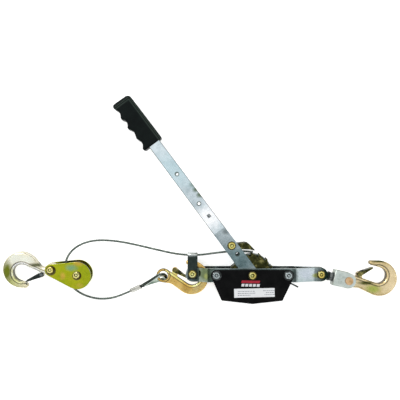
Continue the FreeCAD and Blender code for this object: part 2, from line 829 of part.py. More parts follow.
def pulley_block():
    """Two cheeks, a grooved sheave on a bush, and the bolts that hold it all and the hook together."""
    cheek("near_cheek", 1)
    cheek("far_cheek", -1)
    half, root, rim = size("sheave_width") / 2, size("groove_radius"), size("sheave_radius")
    body = new_body()
    groove = body.newObject("PartDesign::Revolution", "Turned")
    bore, land, flank = 9, 1, root + 0.7
    section = [
        (bore, -half),
        (rim, -half),
        (rim, land - half),
        (flank, -2.0),
        (root, 0),
        (flank, 2.0),
        (rim, half - land),
        (rim, half),
        (bore, half),
    ]
    groove.Profile = sketch_in(body, polygon(section), "XZ_Plane")
    groove.ReferenceAxis = (next(f for f in body.Origin.OriginFeatures if f.Role == "Z_Axis"), [""])
    groove.Angle = 360
    doc.recompute()
    node(body, "sheave", BLOCK)
    node(tube("bolt_radius + 4", "bolt_radius + run_clear", -half, half), "sheave_bush", BLOCK)
    inner = size("cheek_gap") / 2
    outside = inner + size("cheek_thick")
    beside = [sorted(levels) for levels in pair(half + 0.3, inner)]
    spacers = [tube("bolt_radius + 3.5", "bolt_radius", *levels) for levels in beside]
    node(group(spacers), "sheave_spacers", BLOCK)
    node(cylinder("bolt_radius", -outside - 6.8, outside + 6.8), "sheave_axle", BLOCK)
    node(cylinder("hook_pin", -outside - 6.8, outside + 6.8, BOLT_X, BOLT_Y), "hook_bolt", BLOCK)
    washer = outside + 1.3
    spots = [(0.0, 0.0, "bolt_radius", 9.0), (BOLT_X, BOLT_Y, "hook_pin", 9.8)]
    washers, nuts = [], []
    for x, y, bore, radius in spots:
        washers += [tube(f"{bore} + 5", bore, *sorted(levels), x, y) for levels in pair(outside, washer)]
        nuts += [nut(low, high, x, y, radius, bore, 25) for low, high in pair(washer, washer + 6.0)]
    node(group(washers), "block_washers", BLOCK)
    node(group(nuts), "block_nuts", BLOCK)


# ---------------------------------------------------------------- rope

ROPE_END = WINCH * Placement(Vector(-203.6, -7.7, 0), Rotation(205.4, 11.4, 35))
FERRULE_START, FERRULE_LONG = 51.3, 26.0
EYE_RADIUS = 12.9


def arms_apart(radius, at, small):
    """The two circles that a loop of rope is drawn round: its round end and where its arms meet."""
    return [(0, 0, radius), (at, 0, small)]


def rope_end():
    """Thimble, eye loop and ferrule. X runs from the loop's round end to the ferrule, and the loop
    stands on edge."""
    rope = size("rope_radius")
    thimble = new_body()
    small = rope - 2.0
    long = FERRULE_START - 8
    trough = arms_apart(EYE_RADIUS - rope - 0.05, long, small)
    pad(thimble, belt(trough), "rope_radius * 2 + 0.2", "XZ_Plane")
    flange = arms_apart(EYE_RADIUS + 0.6, long - 3, small + 1.5)
    for level in (rope + 0.5, -rope - 0.5):
        pad(thimble, belt(flange), "rope_radius / 3", "XZ_Plane", level)
    cut(thimble, belt(arms_apart(EYE_RADIUS - rope - 1.5, long - 9, small)), None, "XZ_Plane")
    node(thimble, "thimble", ROPE_END)
    tangent = math.degrees(math.acos((EYE_RADIUS - rope - 0.1) / FERRULE_START))
    lift = unit(tangent) * EYE_RADIUS
    start, end = Vector(FERRULE_START, 0, rope + 0.1), Vector(FERRULE_START, 0, -rope - 0.1)
    up, down = Vector(lift.x, 0, lift.y), Vector(lift.x, 0, -lift.y)
    path = [
        Part.LineSegment(start, up).toShape(),
        Part.Arc(up, Vector(-EYE_RADIUS, 0, 0), down).toShape(),
        Part.LineSegment(down, end).toShape(),
    ]
    section = Part.Wire(Part.Circle(start, up - start, rope).toShape())
    shape_node(Part.Wire(path).makePipeShell([section], True, False, 1), "rope_eye", ROPE_END)
    ferrule = new_body()
    oval = belt([(0, rope, 4.3), (0, -rope, 4.3)])
    pad(ferrule, oval, "rope_radius * 2 + 21.2", "YZ_Plane", FERRULE_START + FERRULE_LONG / 2 + 0.5)
    round_edges(ferrule, "rope_radius / 3", lambda e: e.BoundBox.XLength < 0.01)
    node(ferrule, "rope_ferrule", ROPE_END)


# The free rope, from the drum to the ferrule, about the shaft: over the top of the drum, through the
# guide, down to the surface, round the sheave's left side and back to the ferrule.
ROPE_ROUTE = [
    (3.0, 49.6, 0.0),
    (-28.0, 52.3, 0.2),
    (-73.0, 48.6, 0.0),
    (-121.0, 41.6, -0.6),
    (-166.0, 43.8, -4.5),
    (-212.0, 53.0, -12.5),
    (-256.0, 62.9, -20.0),
    (-300.0, 71.4, -25.2),
    (-341.0, 74.8, -26.4),
    (-372.0, 71.2, -24.0),
    (-396.5, 60.5, -20.0),
    (-411.8, 46.0, -15.5),
    (-419.8, 28.0, -11.5),
    (-421.0, 8.0, -11.4),
    (-417.0, -12.0, -13.6),
    (-408.0, -29.0, -16.6),
    (-393.0, -44.0, -20.5),
    (-372.0, -55.5, -26.0),
    (-344.5, -62.0, -30.8),
    (-314.0, -58.5, -29.0),
]


def wire_rope():
    end = ROPE_END.multVec(Vector(FERRULE_START + FERRULE_LONG + 0.6, 0, 0)) - WINCH.Base
    lead = ROPE_END.multVec(Vector(FERRULE_START + FERRULE_LONG + 16.0, 0, 0)) - WINCH.Base
    route = ROPE_ROUTE + [tuple(lead), tuple(end)]
    rope, radii, length = swept(route, size("rope_radius"), None)
    print("rope radii", [round(r) for r in radii], "length", round(length, 1))
    print("route", [tuple(round(v, 1) for v in p) for p in route])
    shape_node(rope, "wire_rope")


# ---------------------------------------------------------------- the whole tool

side_strap("near_side_strap", 1)
side_strap("far_side_strap", -1)
cover_plate("near_cover_plate", 1)
cover_plate("far_cover_plate", -1)
rating_label()
frame_fasteners()
drum()
lever()
lever_grip()
pawl_pin()
driving_pawl()
holding_pawl()
node(rope_guide(), "rope_guide", WINCH * frame_at(size("anchor_x"), size("anchor_y")))
swivel()
RIGHT = SWIVEL * frame_at(size("clevis_reach"), turn=19.8)
LEFT = BLOCK * frame_at(BOLT_X, BOLT_Y, turn=183.5)
MIDDLE = WINCH * frame_at(-197.6, -2.9)
HOOKS = {"right": (RIGHT_HOOK, RIGHT), "left": (LEFT_HOOK, LEFT), "middle": (END_HOOK, MIDDLE)}
for name, (form, place) in HOOKS.items():
    hook(f"{name}_hook", form, place)
    latch(f"{name}_latch", form, place)
pulley_block()
rope_end()
wire_rope()

doc.recompute()
for item in doc.Objects:
    if "Invalid" in item.State or "Error" in item.State:
        raise SystemExit(f"{item.Name} ({item.Label}) did not compute: {item.State}")
for item in NODES:
    if item.Shape.isNull() or not item.Shape.isValid() or not item.Shape.Solids:
        raise SystemExit(f"{item.Label} has no valid solid")
for item in NODES:
    item.Shape.exportStep(f"parts/{item.Label}.step")
    box = item.Shape.BoundBox
    print(f"{item.Label:22} {len(item.Shape.Solids)} {box}")
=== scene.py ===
"""The come along winch's looks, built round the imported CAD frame. Metres, in the frame's own axes:
+X from the pulley block to the swivel hook, +Y towards the grip, +Z up from the floor."""

import math
import random

import bmesh
import bpy
from mathutils import Matrix, Vector


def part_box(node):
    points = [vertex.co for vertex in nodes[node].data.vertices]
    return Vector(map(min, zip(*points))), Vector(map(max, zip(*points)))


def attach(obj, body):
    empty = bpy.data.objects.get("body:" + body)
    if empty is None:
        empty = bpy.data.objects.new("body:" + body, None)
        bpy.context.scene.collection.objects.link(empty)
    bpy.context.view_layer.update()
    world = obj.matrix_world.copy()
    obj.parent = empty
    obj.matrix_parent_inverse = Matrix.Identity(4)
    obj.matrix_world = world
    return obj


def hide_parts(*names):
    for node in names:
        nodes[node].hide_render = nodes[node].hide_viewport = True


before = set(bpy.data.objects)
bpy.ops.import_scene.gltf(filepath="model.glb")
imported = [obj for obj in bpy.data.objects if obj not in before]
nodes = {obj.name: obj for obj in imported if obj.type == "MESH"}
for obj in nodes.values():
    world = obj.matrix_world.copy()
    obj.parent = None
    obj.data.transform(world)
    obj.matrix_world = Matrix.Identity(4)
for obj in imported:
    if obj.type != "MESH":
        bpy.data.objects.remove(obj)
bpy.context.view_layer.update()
scene = bpy.context.scene
MM = 0.001


def centre(node):
    low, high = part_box(node)
    return (low + high) / 2


SHAFT = centre("main_shaft")
ROPE_RADIUS = 2.4 * MM

# ---------------------------------------------------------------- camera, floor and light

CAMERA_HEIGHT = 1.281
CAMERA_FROM_SHAFT = (-0.1155, 0.1660)
LENS, SENSOR = 50, 36
FLOOR_HALF_SIZE = 12.0
FLOOR_GREY = 0.95
FLOOR_GLOW = 0.62

# The studio's brightness from straight down (0) to straight up (1): dark bands for rounded edges to
# pick up, and an almost even ceiling.
STUDIO_BANDS = (
    (0.00, (0.60, 0.60, 0.60)),
    (1.00, (1.00, 1.02, 1.04)),
    (0.12, (0.30, 0.32, 0.32)),
    (0.22, (0.03, 0.04, 0.035)),
    (0.36, (0.04, 0.05, 0.045)),
    (0.46, (1.35, 1.33, 1.25)),
    (0.60, (1.30, 1.28, 1.22)),
    (0.69, (0.06, 0.08, 0.07)),
    (0.76, (0.08, 0.10, 0.09)),
    (0.85, (0.94, 0.96, 0.98)),
)
# The dark patch of ceiling: its lean from straight up in X and Y, where it is full and where it ends.
PATCH_LEAN = (4.0, -13.0)
PATCH_FULL, PATCH_END = 7.0, 11.5
PATCH_COLOUR = (0.085, 0.125, 0.125)


def overhead_camera():
    data = bpy.data.cameras.new("Camera")
    data.lens = LENS
    data.sensor_width = SENSOR
    camera = bpy.data.objects.new("Camera", data)
    camera.location = (SHAFT.x + CAMERA_FROM_SHAFT[0], SHAFT.y + CAMERA_FROM_SHAFT[1], CAMERA_HEIGHT)
    scene.collection.objects.link(camera)
    scene.camera = camera
    scene.view_settings.view_transform = "Standard"


def plain_floor():
    size = FLOOR_HALF_SIZE
    mesh = bpy.data.meshes.new("Floor")
    corners = [(-size, -size, 0), (size, -size, 0), (size, size, 0), (-size, size, 0)]
    mesh.from_pydata(corners, [], [(0, 1, 2, 3)])
    floor = bpy.data.objects.new("Floor", mesh)
    scene.collection.objects.link(floor)
    paint = bpy.data.materials.new("FloorPaint")
    paint.use_nodes = True
    inputs = paint.node_tree.nodes["Principled BSDF"].inputs
    inputs["Base Color"].default_value = (FLOOR_GREY, FLOOR_GREY, FLOOR_GREY, 1)
    inputs["Roughness"].default_value = 0.9
    inputs["Specular IOR Level"].default_value = 0.05
    inputs["Emission Color"].default_value = (1, 1, 1, 1)
    inputs["Emission Strength"].default_value = FLOOR_GLOW
    mesh.materials.append(paint)


def studio_light():
    """A pale studio in bands, with one soft dark patch of ceiling beside the camera, which flat metal
    reflects."""
    world = bpy.data.worlds.new("Studio")
    scene.world = world
    world.use_nodes = True
    tree = world.node_tree
    tree.nodes.clear()
    direction = tree.nodes.new("ShaderNodeTexCoord").outputs["Generated"]
    split = tree.nodes.new("ShaderNodeSeparateXYZ")
    tree.links.new(direction, split.inputs[0])
    bands = tree.nodes.new("ShaderNodeValToRGB")
    bands.color_ramp.interpolation = "EASE"
    stops = bands.color_ramp.elements
    for i, (height, colour) in enumerate(STUDIO_BANDS):
        stop = stops[i] if i < 2 else stops.new(height)
        stop.position = height
        stop.color = (*colour, 1)
    tree.links.new(split.outputs["Z"], bands.inputs["Fac"])
    toward = tree.nodes.new("ShaderNodeVectorMath")
    toward.operation = "DOT_PRODUCT"
    tree.links.new(direction, toward.inputs[0])
    lean = [math.sin(math.radians(angle)) for angle in PATCH_LEAN]
    toward.inputs[1].default_value = Vector((*lean, 1)).normalized()
    spread = tree.nodes.new("ShaderNodeMapRange")
    spread.interpolation_type = "SMOOTHSTEP"
    spread.inputs["From Min"].default_value = math.cos(math.radians(PATCH_END))
    spread.inputs["From Max"].default_value = math.cos(math.radians(PATCH_FULL))
    tree.links.new(toward.outputs["Value"], spread.inputs["Value"])
    shade = tree.nodes.new("ShaderNodeMix")
    shade.data_type = "RGBA"
    tree.links.new(spread.outputs["Result"], shade.inputs[0])
    tree.links.new(bands.outputs["Color"], shade.inputs[6])
    shade.inputs[7].default_value = (*PATCH_COLOUR, 1)
    background = tree.nodes.new("ShaderNodeBackground")
    tree.links.new(shade.outputs[2], background.inputs["Color"])
    output = tree.nodes.new("ShaderNodeOutputWorld")
    tree.links.new(background.outputs[0], output.inputs[0])


def softbox(name, place, size, power, tint=(1, 1, 1)):
    """A rectangular lamp that looks at the frame's origin."""
    data = bpy.data.lights.new(name, "AREA")
    data.color = tint
    data.shape = "RECTANGLE"
    data.size, data.size_y = size
    data.energy = power
    light = bpy.data.objects.new(name, data)
    light.location = place
    light.rotation_euler = (-Vector(place)).to_track_quat("-Z", "Y").to_euler()
    scene.collection.objects.link(light)


overhead_camera()
plain_floor()
studio_light()
softbox("KeyLight", place=(-1.3, 1.5, 1.9), size=(1.2, 0.8), power=22)
softbox("FillLight", place=(1.6, -0.6, 1.5), size=(1.0, 1.0), power=2.2, tint=(0.92, 0.95, 1.0))

# ---------------------------------------------------------------- materials

# How far noise breaks up a tint patch's rim, and where a patch is full and where it ends, as shares of
# its reach. The patches hold real tints and painted light: painted reflections, highlights and shade.
TINT_PATCH_RAGGED = 0.9
TINT_PATCH_FULL, TINT_PATCH_END = 0.78, 1.55

# Painted light and shade, as brightness by the share of a distance: outwards from the edge of a forged
# hook's opening (painted shade at the edge, a painted highlight band, then a painted shadow line), and
# outwards from a bolt's centre over its thread, its nut's face and the chamfer (rings of painted
# highlight and shade).
OPENING_LIGHT_REACH = 16 * MM
OPENING_LIGHT_AND_SHADE = ((0.0, 0.2), (0.08, 1.5), (0.27, 1.5), (0.34, 0.02), (0.48, 1.1))
BOLT_LIGHT_REACH = 12 * MM
BOLT_LIGHT_AND_SHADE = (
    (0.0, 1.4),
    (0.14, 1.3),
    (0.21, 0.05),
    (0.31, 0.05),
    (0.38, 1.25),
    (0.53, 1.2),
    (0.64, 0.08),
    (1.0, 0.25),
)


class Paint:
    """A Principled material with a few procedural layers, in the object's own coordinates."""

    def __init__(self, name, metallic, colour):
        self.material = bpy.data.materials.new(name)
        self.material.use_nodes = True
        self.material.diffuse_color = (*colour, 1)
        self.tree = self.material.node_tree
        self.shader = self.tree.nodes["Principled BSDF"]
        self.shader.inputs["Metallic"].default_value = metallic
        self.shader.inputs["Base Color"].default_value = (*colour, 1)
        self.coords = self.tree.nodes.new("ShaderNodeTexCoord").outputs["Object"]
        self.normal = None

    def node(self, kind, **settings):
        made = self.tree.nodes.new(kind)
        for key, value in settings.items():
            setattr(made, key, value)
        return made

    def link(self, out, into):
        self.tree.links.new(out, into)

    def stretched(self, stretch, turn=0.0):
        mapping = self.node("ShaderNodeMapping")
        mapping.inputs["Rotation"].default_value = (0, 0, math.radians(turn))
        mapping.inputs["Scale"].default_value = stretch
        self.link(self.coords, mapping.inputs["Vector"])
        return mapping.outputs["Vector"]

    def noise(self, scale, detail=4.0, roughness=0.55, stretch=(1, 1, 1), turn=0.0):
        made = self.node("ShaderNodeTexNoise")
        made.inputs["Scale"].default_value = scale
        made.inputs["Detail"].default_value = detail
        made.inputs["Roughness"].default_value = roughness
        self.link(self.stretched(stretch, turn), made.inputs["Vector"])
        return made.outputs["Fac"]

    def tint_and_light_patch(self, place, reach, strength):
        """A blurred patch round a place in X and Y, its rim broken up by noise."""
        mapping = self.node("ShaderNodeMapping")
        scale = [1 / (r * MM) for r in reach]
        mapping.inputs["Scale"].default_value = (*scale, 0)
        mapping.inputs["Location"].default_value = (-place[0] * scale[0], -place[1] * scale[1], 0)
        self.link(self.coords, mapping.inputs["Vector"])
        away = self.vectors("LENGTH", mapping.outputs["Vector"])
        ragged = self.maths("MULTIPLY_ADD", self.noise(70.0, 4.0, 0.6), TINT_PATCH_RAGGED, away)
        return self.levels(ragged, TINT_PATCH_FULL, TINT_PATCH_END, strength, 0.0)

    def maths(self, operation, *values):
        made = self.node("ShaderNodeMath", operation=operation)
        for socket, value in zip(made.inputs, values):
            if isinstance(value, (int, float)):
                socket.default_value = value
            else:
                self.link(value, socket)
        return made.outputs[0]

    def vectors(self, operation, first, second=None, scale=None):
        made = self.node("ShaderNodeVectorMath", operation=operation)
        for socket, value in zip(made.inputs, (first, second)):
            if isinstance(value, (tuple, Vector)):
                socket.default_value = value
            elif value is not None:
                self.link(value, socket)
        if scale is not None:
            self.link(scale, made.inputs["Scale"])
        return made.outputs["Value" if operation in ("LENGTH", "DOT_PRODUCT") else "Vector"]

    def from_line(self, start, end):
        """How far a point lies, in X and Y, from a straight line between two places."""
        flat = self.vectors("MULTIPLY", self.coords, (1, 1, 0))
        run = Vector((*end, 0)) - Vector((*start, 0))
        offset = self.vectors("SUBTRACT", flat, (*start, 0))
        share = self.maths("DIVIDE", self.vectors("DOT_PRODUCT", offset, run), run.length_squared)
        share = self.maths("MAXIMUM", self.maths("MINIMUM", share, 1.0), 0.0)
        along = self.vectors("SCALE", run, scale=share)
        return self.vectors("LENGTH", self.vectors("SUBTRACT", offset, along))

    def from_nearest(self, places):
        """How far a point lies, in X and Y, from the nearest of some places."""
        flat = self.vectors("MULTIPLY", self.coords, (1, 1, 0))
        reach = 1.0
        for place in places:
            away = self.vectors("LENGTH", self.vectors("SUBTRACT", flat, (*place, 0)))
            reach = self.maths("MINIMUM", reach, away)
        return reach

    def from_opening(self, bowl, radius, start, end):
        """How far a point lies from a hook's opening: its bowl and the straight side of its shank."""
        to_bowl = self.maths("SUBTRACT", self.from_nearest([bowl]), radius)
        return self.maths("MINIMUM", to_bowl, self.from_line(start, end))

    def painted_side_shade(self, base, amount):
        """Painted shade: upright faces are made darker than the faces that lie flat."""
        normal = self.node("ShaderNodeNewGeometry").outputs["Normal"]
        upright = self.maths("ABSOLUTE", self.vectors("DOT_PRODUCT", normal, (0, 0, 1)))
        grey = self.levels(upright, 0.15, 0.75, 1 - amount, 1.0)
        return self.mix(1.0, base, grey, "MULTIPLY")

    def ramp(self, fac, stops):
        made = self.node("ShaderNodeValToRGB")
        elements = made.color_ramp.elements
        for i, (position, colour) in enumerate(stops):
            element = elements[i] if i < 2 else elements.new(position)
            element.position = position
            element.color = (*colour, 1)
        self.link(fac, made.inputs["Fac"])
        return made.outputs["Color"]

    def levels(self, fac, low, high, to_low=0.0, to_high=1.0):
        made = self.node("ShaderNodeMapRange")
        ends = {"From Min": low, "From Max": high, "To Min": to_low, "To Max": to_high}
        for name, value in ends.items():
            made.inputs[name].default_value = value
        self.link(fac, made.inputs["Value"])
        return made.outputs["Result"]

    def mix(self, fac, first, second, kind="MIX"):
        made = self.node("ShaderNodeMix", data_type="RGBA", blend_type=kind)
        for socket, value in ((made.inputs[0], fac), (made.inputs[6], first), (made.inputs[7], second)):
            if isinstance(value, (int, float)):
                socket.default_value = value
            elif isinstance(value, tuple):
                socket.default_value = (*value, 1)
            else:
                self.link(value, socket)
        return made.outputs[2]

    def shaded(self, base, distance, reach, profile):
        """The base, darker or brighter by a profile of greys over a reach of some distance."""
        greys = [(at, (grey,) * 3) for at, grey in profile]
        return self.mix(1.0, base, self.ramp(self.levels(distance, 0.0, reach), greys), "MULTIPLY")

    def lined(self, base, distance, core, edge, strength, tint):
        """The base with a soft-edged line where some distance is small: full in its core."""
        return self.mix(self.levels(distance, core, edge, strength, 0.0), base, tint)

    def colour(self, out):
        self.link(out, self.shader.inputs["Base Color"])

    def roughness(self, out):
        self.link(out, self.shader.inputs["Roughness"])

    def bump(self, out, distance, strength=1.0):
        made = self.node("ShaderNodeBump")
        made.inputs["Distance"].default_value = distance
        made.inputs["Strength"].default_value = strength
        self.link(out, made.inputs["Height"])
        if self.normal:
            self.link(self.normal, made.inputs["Normal"])
        self.normal = made.outputs["Normal"]
        self.link(self.normal, self.shader.inputs["Normal"])


def plated(
    name,
    tones,
    rough=(0.14, 0.26),
    grain_turn=0.0,
    mottle=26.0,
    scuff=(0.6, 0.6, 0.58),
    tints_and_painted_light=(),
    skin=0.35,
    pits=0.0,
    sides=0.55,
    opening=None,
    turned=(),
    rims=(),
    edge_shade_lines=(),
):
    """Zinc-plated steel: clouded plating colour, rolled grain, fine scuffs and a slightly uneven skin.
    Patches of another tint hold real tints and painted light (painted reflections, highlights and
    shade): each gives its centre, its reach along X and Y, its colour and strength. An opening is that
    of a forged hook, whose inner side is sloped by a bump and carries painted light: painted shade at
    the edge, a painted highlight band and a painted shadow line. Turned lists the centres of rings of
    painted highlight and shade round bolts and nuts. Rims are rings of painted shade round the edges of
    holes and eyes, by their centres and radii in millimetres, and straight lines of painted shade along
    bent edges are given by their ends. Upright faces are darkened by the share in sides: painted shade."""
    paint = Paint(name, 1.0, tones[1])
    clouds = paint.noise(mottle, 5.0, 0.6)
    base = paint.ramp(clouds, [(0.30, tones[0]), (0.52, tones[1]), (0.72, tones[2])])
    # Patches of another tint: real tints, and painted reflections, highlights and shade.
    for place, reach, tint, strength in tints_and_painted_light:
        base = paint.mix(paint.tint_and_light_patch(place, reach, strength), base, tint)
    spangle = paint.noise(260.0, 3.0, 0.6)
    base = paint.mix(paint.levels(spangle, 0.42, 0.75, 0.0, 0.18), base, tones[0], "MULTIPLY")
    scratches = paint.noise(90.0, 6.0, 0.75, (1, 14, 14), grain_turn)
    base = paint.mix(paint.levels(scratches, 0.62, 0.80, 0.0, 0.35), base, scuff)
    if pits:
        grime = paint.levels(paint.noise(520.0, 5.0, 0.7), 0.60, 0.70, 0.0, pits)
        base = paint.mix(grime, base, tuple(c * 0.25 for c in tones[0]))
    # A hook's opening: a bump for its slope, with painted shade at the edge, a painted highlight band
    # and a painted shadow line.
    if opening:
        away = paint.from_opening(*opening)
        base = paint.shaded(base, away, OPENING_LIGHT_REACH, OPENING_LIGHT_AND_SHADE)
        paint.bump(paint.levels(away, 4.0 * MM, 7.0 * MM), 0.8 * MM)
    # Rings of painted highlight and shade round each bolt's end and nut.
    if turned:
        uneven = paint.levels(paint.noise(300.0, 3.0, 0.6), 0.3, 0.7, -0.9 * MM, 0.9 * MM)
        away = paint.maths("ADD", paint.from_nearest(turned), uneven)
        base = paint.shaded(base, away, BOLT_LIGHT_REACH, BOLT_LIGHT_AND_SHADE)
    # Rings of painted shade round the edges of holes and eyes.
    for place, radius in rims:
        away = paint.maths("SUBTRACT", paint.from_nearest([place]), radius * MM)
        away = paint.maths("ABSOLUTE", away)
        base = paint.lined(base, away, 0.5 * MM, 1.5 * MM, 0.85, (0.05, 0.06, 0.03))
    # Straight lines of painted shade along bent edges.
    for start, end in edge_shade_lines:
        away = paint.from_line(start, end)
        base = paint.lined(base, away, 0.3 * MM, 1.0 * MM, 0.9, (0.07, 0.06, 0.04))
    # Upright faces darker: painted shade.
    paint.colour(paint.painted_side_shade(base, sides))
    smudge = paint.noise(45.0, 6.0, 0.65)
    paint.roughness(paint.levels(smudge, 0.3, 0.7, *rough))
    paint.bump(paint.noise(340.0, 4.0, 0.6), 0.06 * MM, skin)
    paint.bump(scratches, 0.04 * MM, 0.25)
    return paint.material


def painted(name, colour, rough, orange_peel=900.0, depth=0.08 * MM, rubbed=1.9, gloss=0.3):
    """Sprayed or moulded skin: fine orange peel, dust and a few rubbed patches."""
    paint = Paint(name, 0.0, colour)
    paint.shader.inputs["Specular IOR Level"].default_value = gloss
    patches = paint.noise(38.0, 6.0, 0.65)
    lighter = tuple(min(1.0, c * rubbed + 0.006) for c in colour)
    base = paint.ramp(patches, [(0.38, colour), (0.80, lighter)])
    specks = paint.levels(paint.noise(700.0, 2.0, 0.5), 0.72, 0.80, 0.0, 0.12)
    paint.colour(paint.mix(specks, base, tuple(min(1.0, c + 0.10) for c in colour)))
    paint.roughness(paint.levels(paint.noise(70.0, 5.0, 0.6), 0.3, 0.7, *rough))
    paint.bump(paint.noise(orange_peel, 3.0, 0.5), depth, 0.6)
    return paint.material


LEVER_ANGLE = 126.7


def turned_by(angle, x, y):
    """A step in X and Y, turned by an angle in degrees."""
    turn = math.radians(angle)
    return x * math.cos(turn) - y * math.sin(turn), x * math.sin(turn) + y * math.cos(turn)


def at_shaft(x, y):
    """A place in the frame from millimetres about the shaft."""
    return (SHAFT.x + x * MM, SHAFT.y + y * MM)


def along_lever(s, across=0.0):
    """A place on the lever, from millimetres along and across it."""
    return at_shaft(*turned_by(LEVER_ANGLE, s, across))


def opening_of(eye, heading, bowl, radius, eye_radius):
    """A hook's opening from the CAD sizes: its eye's place about the shaft, its heading, and its bowl's
    centre and radius in its own frame. The shank's side is the tangent from the bowl to the eye."""

    def placed(x, y):
        x, y = turned_by(heading, x, y)
        return at_shaft(eye[0] + x, eye[1] + y)

    reach = math.hypot(*bowl)
    lean = math.atan2(bowl[1], bowl[0]) + math.asin((-radius - eye_radius) / reach)
    across = (-math.sin(lean), math.cos(lean))
    start = placed(across[0] * eye_radius, across[1] * eye_radius)
    end = placed(bowl[0] - across[0] * radius, bowl[1] - across[1] * radius)
    return placed(*bowl), radius * MM, start, end


MIDDLE_EYE = (-197.6, -2.9)
RIGHT_OPENING = opening_of((215.65, -13.89), 7.1, (67.7, 3.45), 17.9, 15.2)
LEFT_OPENING = opening_of((-449.9, 9.2), 183.5, (67.1, 3.1), 19.5, 15.0)
MIDDLE_OPENING = opening_of(MIDDLE_EYE, 0.0, (64.5, -2.2), 18.5, 15.6)
# Tints: a deep green for painted dark reflections on flat zinc and an olive for painted shade along the
# hooks' edges; lavender, cream and dull green for painted reflections and highlights; orange for the
# cheeks' real iridescence, and a grey for scuffs.
DEEP_GREEN, EDGE_SHADE_OLIVE = (0.012, 0.03, 0.02), (0.07, 0.08, 0.012)
LAVENDER, CREAM, ORANGE = (0.66, 0.70, 0.78), (0.97, 0.93, 0.80), (0.80, 0.42, 0.10)
DULL_GREEN, SCUFFED_STEEL = (0.12, 0.17, 0.10), (0.3, 0.32, 0.3)

# The centres of the rings of painted highlight and shade on the bolts: a little up and left of each
# bolt, for a light from that side.
ZINC_BOLTS = (at_shaft(-79.5, 0.5), at_shaft(78.5, 0.5))
GOLD_BOLTS = (
    at_shaft(-0.5, 0.5),
    at_shaft(-132.5, 2.3),
    at_shaft(153.5, 0.5),
    along_lever(79.5, -2.8),
    at_shaft(-392.5, -2.0),
    at_shaft(-450.4, 9.7),
)

ZINC = plated(
    "BrightZinc",
    [(0.50, 0.56, 0.57), (0.74, 0.80, 0.81), (0.90, 0.93, 0.93)],
    (0.16, 0.28),
    turned=ZINC_BOLTS,
)
THIMBLE_ZINC = plated(
    "ThimbleZinc",
    [(0.24, 0.30, 0.26), (0.42, 0.50, 0.45), (0.64, 0.70, 0.66)],
    (0.14, 0.24),
    sides=0.8,
)
STRAP_ZINC = plated(
    "StrapZinc",
    [(0.36, 0.44, 0.43), (0.55, 0.63, 0.62), (0.72, 0.78, 0.78)],
    (0.10, 0.20),
    # Painted reflections: dark green patches where the flat zinc mirrors the dark ceiling, a pale
    # lavender patch on the right strap, and olive smears, one beside the right gold nut.
    tints_and_painted_light=(
        (at_shaft(-106, 2), (26, 30), (0.13, 0.17, 0.09), 1.0),
        (at_shaft(-103, -2), (5, 9), (0.30, 0.34, 0.12), 0.8),
        (at_shaft(120, 3), (26, 18), LAVENDER, 0.8),
        (at_shaft(92, 0), (9, 22), DEEP_GREEN, 0.8),
        (at_shaft(0, 0), (86, 30), DEEP_GREEN, 0.7),
        (at_shaft(168, 0), (29, 60), DEEP_GREEN, 1.0),
        (at_shaft(142, -2), (10, 6), (0.34, 0.36, 0.08), 0.9),
        (at_shaft(-126, 0), (10, 20), DEEP_GREEN, 0.7),
    ),
)
LEVER_ZINC = plated(
    "LeverZinc",
    [(0.46, 0.54, 0.57), (0.66, 0.74, 0.77), (0.80, 0.86, 0.89)],
    (0.12, 0.24),
    -LEVER_ANGLE,
    # Painted reflections and highlights: teal on the flat fork, a dark green patch and dark green
    # smears along the right edge, a white highlight on the taper and pale blue higher up.
    tints_and_painted_light=(
        (along_lever(48, 0), (44, 38), (0.28, 0.44, 0.46), 0.7),
        (along_lever(112, -12), (13, 8), DEEP_GREEN, 0.5),
        (along_lever(160, 2), (34, 34), (1.0, 1.0, 1.0), 1.0),
        (along_lever(212, -13), (9, 8), DULL_GREEN, 0.9),
        (along_lever(226, -13), (9, 8), DULL_GREEN, 0.9),
        (along_lever(240, -14), (8, 7), (0.16, 0.22, 0.16), 0.8),
        (along_lever(290, 3), (80, 50), (0.50, 0.68, 0.72), 0.6),
    ),
    sides=0.9,
    # Rings of painted shade round the holes, and lines of painted shade along the bent edges.
    rims=[(along_lever(s), 4.1) for s in (197, 279)] + [(along_lever(57, -1.6), 4.4)],
    edge_shade_lines=[(along_lever(118, side * 14.5), along_lever(365, side * 13.5)) for side in (-1, 1)],
)
GOLD = plated(
    "YellowZinc",
    [(0.62, 0.48, 0.08), (0.92, 0.78, 0.26), (0.98, 0.90, 0.50)],
    (0.24, 0.38),
    20.0,
    60.0,
    sides=0.8,
    turned=GOLD_BOLTS,
)
HOOK_GOLD = plated(
    "ForgedTan",
    [(0.46, 0.35, 0.15), (0.66, 0.52, 0.28), (0.76, 0.64, 0.41)],
    (0.20, 0.34),
    20.0,
    30.0,
    # Painted shade: an olive patch on the lower side and dark olive lines along the lower and upper
    # edges; and a lighter patch at the far end.
    tints_and_painted_light=(
        (at_shaft(270, -32), (20, 11), (0.38, 0.44, 0.09), 0.9),
        (at_shaft(255, -19), (24, 5), EDGE_SHADE_OLIVE, 0.95),
        (at_shaft(312, -18), (14, 34), (0.84, 0.68, 0.44), 0.6),
        (at_shaft(286, 30), (24, 4), EDGE_SHADE_OLIVE, 1.0),
    ),
    skin=0.6,
    pits=0.5,
    opening=RIGHT_OPENING,
)
END_GOLD = plated(
    "ForgedAmber",
    [(0.66, 0.40, 0.09), (0.90, 0.62, 0.20), (0.96, 0.76, 0.36)],
    (0.22, 0.36),
    20.0,
    34.0,
    # Rings of painted shade round the eye's inner and outer edges.
    rims=[(at_shaft(*MIDDLE_EYE), radius) for radius in (10.4, 15.2)],
    skin=0.6,
    pits=0.4,
    opening=MIDDLE_OPENING,
)
